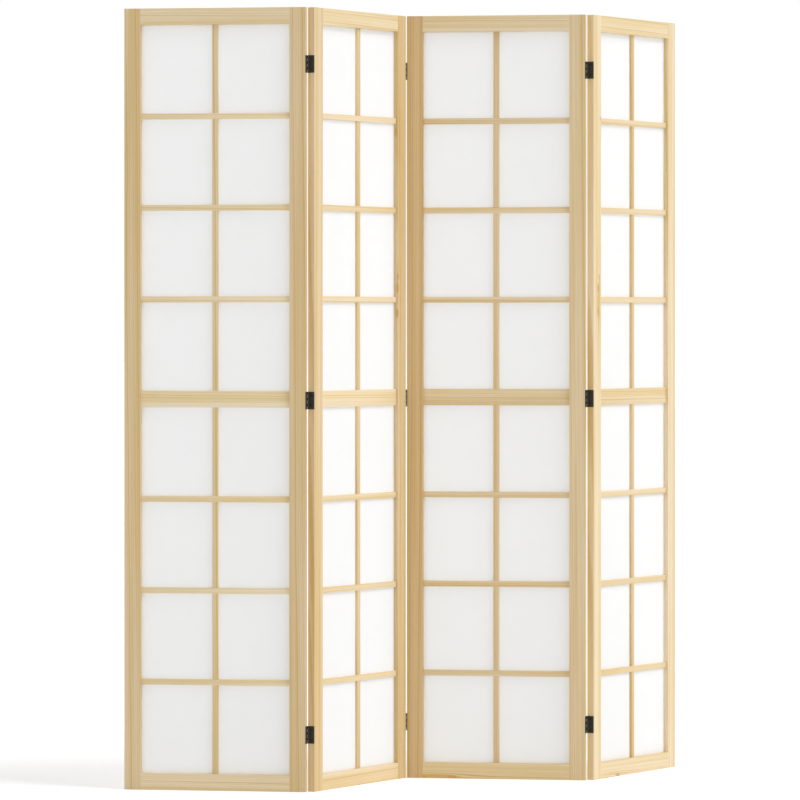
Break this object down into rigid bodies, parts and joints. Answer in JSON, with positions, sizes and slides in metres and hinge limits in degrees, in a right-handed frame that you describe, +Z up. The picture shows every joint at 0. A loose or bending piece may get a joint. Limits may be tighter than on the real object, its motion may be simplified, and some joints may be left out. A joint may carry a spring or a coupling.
{
  "type": "folding room divider",
  "caption": "Zigzag folding screen of hinged pale wood frames with a grid lattice backed by white translucent paper; stands on its edges and folds flat.",
  "frame": {"origin": "on the floor, in the plan centre of the opened zigzag; the middle hinge line lies in the plane X = 0", "axes": "+Z up, +X along the screen to the right as seen from its lattice side, +Y towards its back, the paper side"},
  "size_m": [1.36, 0.2432, 1.7],
  "materials": {
    "pine": "pale clear-finished softwood",
    "paper": "matte white translucent sheet",
    "hinge_black": "satin black",
    "pin_steel": "satin black",
    "screw_black": "satin black"
  },
  "bodies": {
    "panel_1": {"panel_1_stile_left": "pine", "panel_1_stile_right": "pine", "panel_1_top_rail": "pine", "panel_1_bottom_rail": "pine", "panel_1_middle_rail": "pine", "panel_1_lattice_uprights": "pine", "panel_1_lattice_crossbars": "pine", "panel_1_paper": "paper", "hinge_1_bottom_left_leaf": "hinge_black", "hinge_1_middle_left_leaf": "hinge_black", "hinge_1_top_left_leaf": "hinge_black", "hinge_1_pins": "pin_steel", "panel_1_hinge_screws": "screw_black"},
    "panel_2": {"panel_2_stile_left": "pine", "panel_2_stile_right": "pine", "panel_2_top_rail": "pine", "panel_2_bottom_rail": "pine", "panel_2_middle_rail": "pine", "panel_2_lattice_uprights": "pine", "panel_2_lattice_crossbars": "pine", "panel_2_paper": "paper", "hinge_1_bottom_right_leaf": "hinge_black", "hinge_1_middle_right_leaf": "hinge_black", "hinge_1_top_right_leaf": "hinge_black", "hinge_2_bottom_left_leaf": "hinge_black", "hinge_2_middle_left_leaf": "hinge_black", "hinge_2_top_left_leaf": "hinge_black", "hinge_2_pins": "pin_steel", "panel_2_hinge_screws": "screw_black"},
    "panel_3": {"panel_3_stile_left": "pine", "panel_3_stile_right": "pine", "panel_3_top_rail": "pine", "panel_3_bottom_rail": "pine", "panel_3_middle_rail": "pine", "panel_3_lattice_uprights": "pine", "panel_3_lattice_crossbars": "pine", "panel_3_paper": "paper", "hinge_2_bottom_right_leaf": "hinge_black", "hinge_2_middle_right_leaf": "hinge_black", "hinge_2_top_right_leaf": "hinge_black", "hinge_3_bottom_left_leaf": "hinge_black", "hinge_3_middle_left_leaf": "hinge_black", "hinge_3_top_left_leaf": "hinge_black", "hinge_3_pins": "pin_steel", "panel_3_hinge_screws": "screw_black"},
    "panel_4": {"panel_4_stile_left": "pine", "panel_4_stile_right": "pine", "panel_4_top_rail": "pine", "panel_4_bottom_rail": "pine", "panel_4_middle_rail": "pine", "panel_4_lattice_uprights": "pine", "panel_4_lattice_crossbars": "pine", "panel_4_paper": "paper", "hinge_3_bottom_right_leaf": "hinge_black", "hinge_3_middle_right_leaf": "hinge_black", "hinge_3_top_right_leaf": "hinge_black", "panel_4_hinge_screws": "screw_black"}
  },
  "joints": [
    {"name": "hinge_line_1", "type": "hinge", "parent": "panel_2", "child": "panel_1", "pos_m": [-0.34064, -0.10937, 0], "axis": [0, 0, -1], "range_deg": [-70, 110]},
    {"name": "hinge_line_2", "type": "hinge", "parent": "panel_2", "child": "panel_3", "pos_m": [0, 0.10937, 0], "axis": [0, 0, -1], "range_deg": [-70, 110]},
    {"name": "hinge_line_3", "type": "hinge", "parent": "panel_3", "child": "panel_4", "pos_m": [0.34064, -0.10937, 0], "axis": [0, 0, 1], "range_deg": [-70, 110]}
  ]
}
